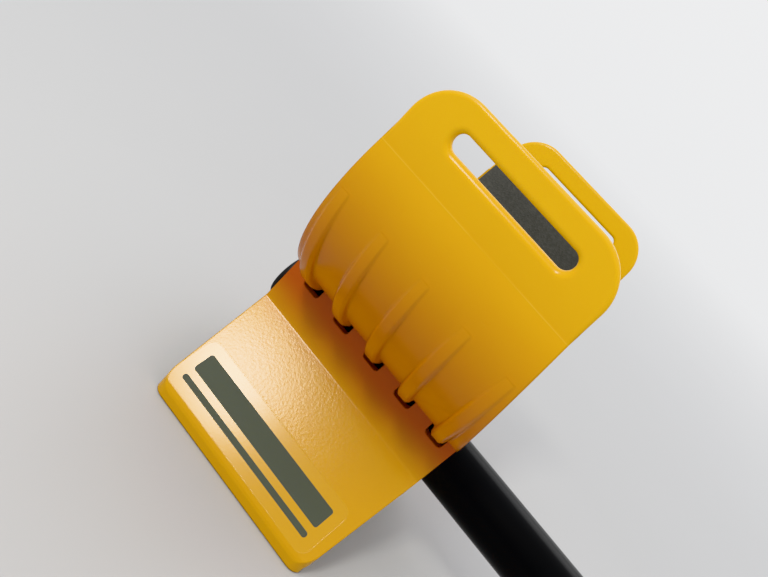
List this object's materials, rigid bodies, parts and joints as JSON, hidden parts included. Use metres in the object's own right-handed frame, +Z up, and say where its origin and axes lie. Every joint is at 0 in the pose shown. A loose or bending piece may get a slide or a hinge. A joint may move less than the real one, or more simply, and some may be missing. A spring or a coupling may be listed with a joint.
{
  "type": "metal detector arm cuff and stand",
  "caption": "Yellow moulded arm cuff with strap slots and fading ribs, on a black upper stem with a flared hollow foot; thumb nuts underneath clamp the stack.",
  "frame": {"origin": "centre of the bounding box in plan, on the floor the foot stands on", "axes": "+X along the stem towards the front of the detector, +Z up, +Y to the left"},
  "size_m": [0.18, 0.1292, 0.1439],
  "materials": {
    "yellow_moulding": "satin",
    "liner_foam": "matte",
    "black_tube": "satin",
    "black_rubber": "matte",
    "plated_steel": "satin",
    "black_plastic": "matte",
    "insert_brass": "satin"
  },
  "bodies": {
    "clamped_stack": {"arm_cuff": "yellow_moulding", "cuff_liner": "liner_foam", "stand": "yellow_moulding", "stem_tube": "black_tube", "stem_rear_plug": "black_rubber", "cuff_bolts": "plated_steel", "bolt_head_washers": "plated_steel"},
    "rear_washer_body": {"rear_washer": "plated_steel"},
    "rear_nut_body": {"rear_thumb_nut": "black_plastic", "rear_nut_insert": "insert_brass"},
    "front_washer_body": {"front_washer": "plated_steel"},
    "front_nut_body": {"front_thumb_nut": "black_plastic", "front_nut_insert": "insert_brass"}
  },
  "joints": [
    {"name": "rear_nut_travel", "type": "slide", "parent": "clamped_stack", "child": "rear_washer_body", "axis": [0, 0, -1], "range_m": [0, 0.006]},
    {"name": "rear_nut_spin", "type": "hinge", "parent": "rear_washer_body", "child": "rear_nut_body", "pos_m": [-0.0658, 0, 0.025], "axis": [0, 0, -1], "range_deg": [0, 2161]},
    {"name": "front_nut_travel", "type": "slide", "parent": "clamped_stack", "child": "front_washer_body", "axis": [0, 0, -1], "range_m": [0, 0.006]},
    {"name": "front_nut_spin", "type": "hinge", "parent": "front_washer_body", "child": "front_nut_body", "pos_m": [-0.0223, 0, 0.025], "axis": [0, 0, -1], "range_deg": [0, 2161]}
  ],
  "couplings": [
    {"joint": "rear_nut_spin", "follows": "rear_nut_travel", "rad_per_m": 6283.2},
    {"joint": "front_nut_spin", "follows": "front_nut_travel", "rad_per_m": 6283.2}
  ]
}
